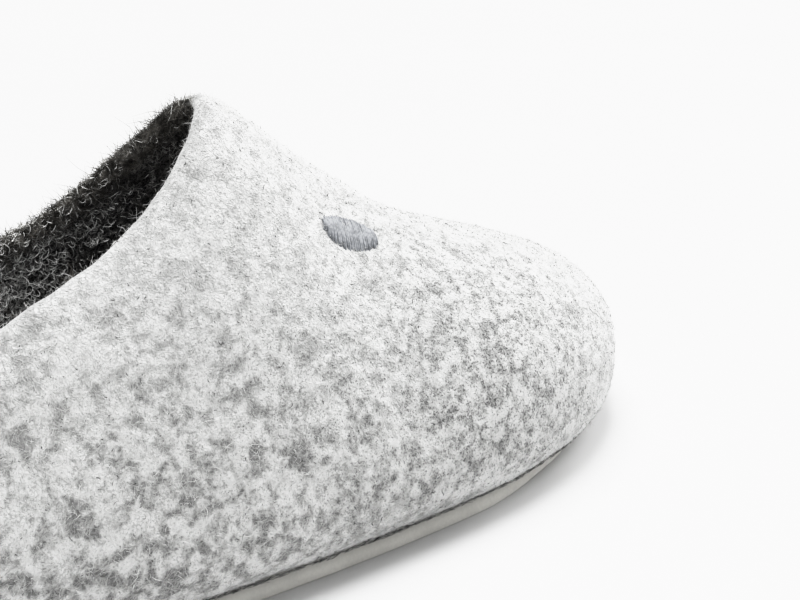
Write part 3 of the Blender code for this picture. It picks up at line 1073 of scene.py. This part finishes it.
def make_camera():
    data = bpy.data.cameras.new("camera")
    camera = bpy.data.objects.new("camera", data)
    bpy.context.scene.collection.objects.link(camera)
    a, e = math.radians(CAMERA_AZIMUTH), math.radians(CAMERA_ELEVATION)
    back = Vector((math.sin(a) * math.cos(e), -math.cos(a) * math.cos(e), math.sin(e)))
    camera.location = (Vector(CAMERA_AIM) + back * CAMERA_DISTANCE) * MM
    camera.rotation_euler = (-back).to_track_quat("-Z", "Y").to_euler()
    data.sensor_fit = "HORIZONTAL"
    data.angle = 2.0 * math.atan(PICTURE_WIDTH / 2 / CAMERA_FOCUS_PIXELS)
    data.clip_start = 0.005
    data.clip_end = 50.0
    bpy.context.scene.camera = camera


def make_sun(sun):
    """Broad soft light from far off, towards which the vector points."""
    data = bpy.data.lights.new(sun.name, "SUN")
    data.energy = sun.strength
    data.angle = math.radians(sun.spread)
    light = bpy.data.objects.new(sun.name, data)
    bpy.context.scene.collection.objects.link(light)
    light.rotation_euler = Vector(sun.towards).to_track_quat("Z", "Y").to_euler()
    return light


def soften_highlights(view):
    """Tone curve that keeps detail in the pale felt and the floor just short of white."""
    view.use_curve_mapping = True
    mapping = view.curve_mapping
    mapping.white_level = (BRIGHTEST, BRIGHTEST, BRIGHTEST)
    curve = mapping.curves[3]
    for shown, light in SHOULDER:
        curve.points.new(light / BRIGHTEST, shown)
    curve.points[-1].location = (1.0, BRIGHTEST_SHOWN)
    mapping.update()


def make_floor():
    mesh = bpy.data.meshes.new("floor")
    corners = [(x * FLOOR_REACH, y * FLOOR_REACH, 0.0) for x, y in ((-1, -1), (1, -1), (1, 1), (-1, 1))]
    mesh.from_pydata(corners, [], [(0, 1, 2, 3)])
    mesh.materials.append(floor_material())
    floor = bpy.data.objects.new("floor", mesh)
    bpy.context.scene.collection.objects.link(floor)


def make_light():
    """Soft light all round, two broad lights, and a fill that falls on the fibres of the lining alone."""
    world = bpy.data.worlds.new("studio")
    world.use_nodes = True
    net = Net(world.node_tree)
    backdrop = world.node_tree.nodes["Background"]
    backdrop.inputs["Color"].default_value = (1.0, 1.0, 1.0, 1.0)
    seen = net.node("ShaderNodeLightPath").outputs["Is Camera Ray"]
    net.link(net.ramp(seen, 0.0, 1.0, SOFT_LIGHT, BACKDROP_LIGHT), backdrop.inputs["Strength"])
    bpy.context.scene.world = world
    make_sun(FROM_ABOVE)
    make_sun(FROM_TOE)
    into_collar = make_sun(INTO_COLLAR)
    lit = bpy.data.collections.new("lit_inside_collar")
    for name in ("lining_fibres_dim", "lining_fibres_pale"):
        lit.objects.link(bpy.data.objects[name])
    into_collar.light_linking.receiver_collection = lit
    view = bpy.context.scene.view_settings
    view.view_transform = "Standard"
    view.look = "None"
    view.exposure = 0.0
    soften_highlights(view)


def main():
    strands = make_strand_group()
    marl = make_marl_group()
    painted_edge_sheen = make_edge_sheen_group()
    felt = grey_felt_material(strands, marl, painted_edge_sheen)
    lining = charcoal_felt_material("charcoal_felt_inside", strands, marl, 0.55)
    fuzz = fuzz_material(FUZZ_WOOL, marl, painted_edge_sheen)
    specks = fuzz_material(SPECK_WOOL, marl, painted_edge_sheen)
    lining_hair = fuzz_material(LINING_WOOL, marl)
    pale_hair = fuzz_material(PALE_LINING_WOOL, marl)
    brown_hair = fuzz_material(BROWN_WOOL, marl)
    make_camera()
    outside, outer_faces, inside, inner_faces, rim_faces = make_felt(felt, lining)
    columns = columns_round()
    make_sole(columns, rubber_material())
    insole, insole_faces = make_insole(columns, lining)
    for name, layer in FELT_FUZZ:
        short_fuzz(name, outside, outer_faces, layer, fuzz)
    short_fuzz("felt_fuzz_dark", outside, outer_faces, DARK_FUZZ, specks, more_at_the_toe)
    curly_fibres("lining_fibres_dim", inside, inner_faces, DIM_CURLS, lining_hair,
                 near_collar)
    curly_fibres("lining_fibres_pale", inside, inner_faces, PALE_CURLS, pale_hair,
                 behind_instep)
    short_fuzz("rim_fuzz", inside, rim_faces, RIM_FUZZ, brown_hair, on_the_arch_side)
    curly_fibres("insole_fibres", insole, insole_faces, INSOLE_CURLS, lining_hair,
                 under_the_foot)
    stray_fibres(fuzz)
    seam_shade_and_lint(specks)
    stitched_oval(thread_material())
    make_floor()
    make_light()


main()
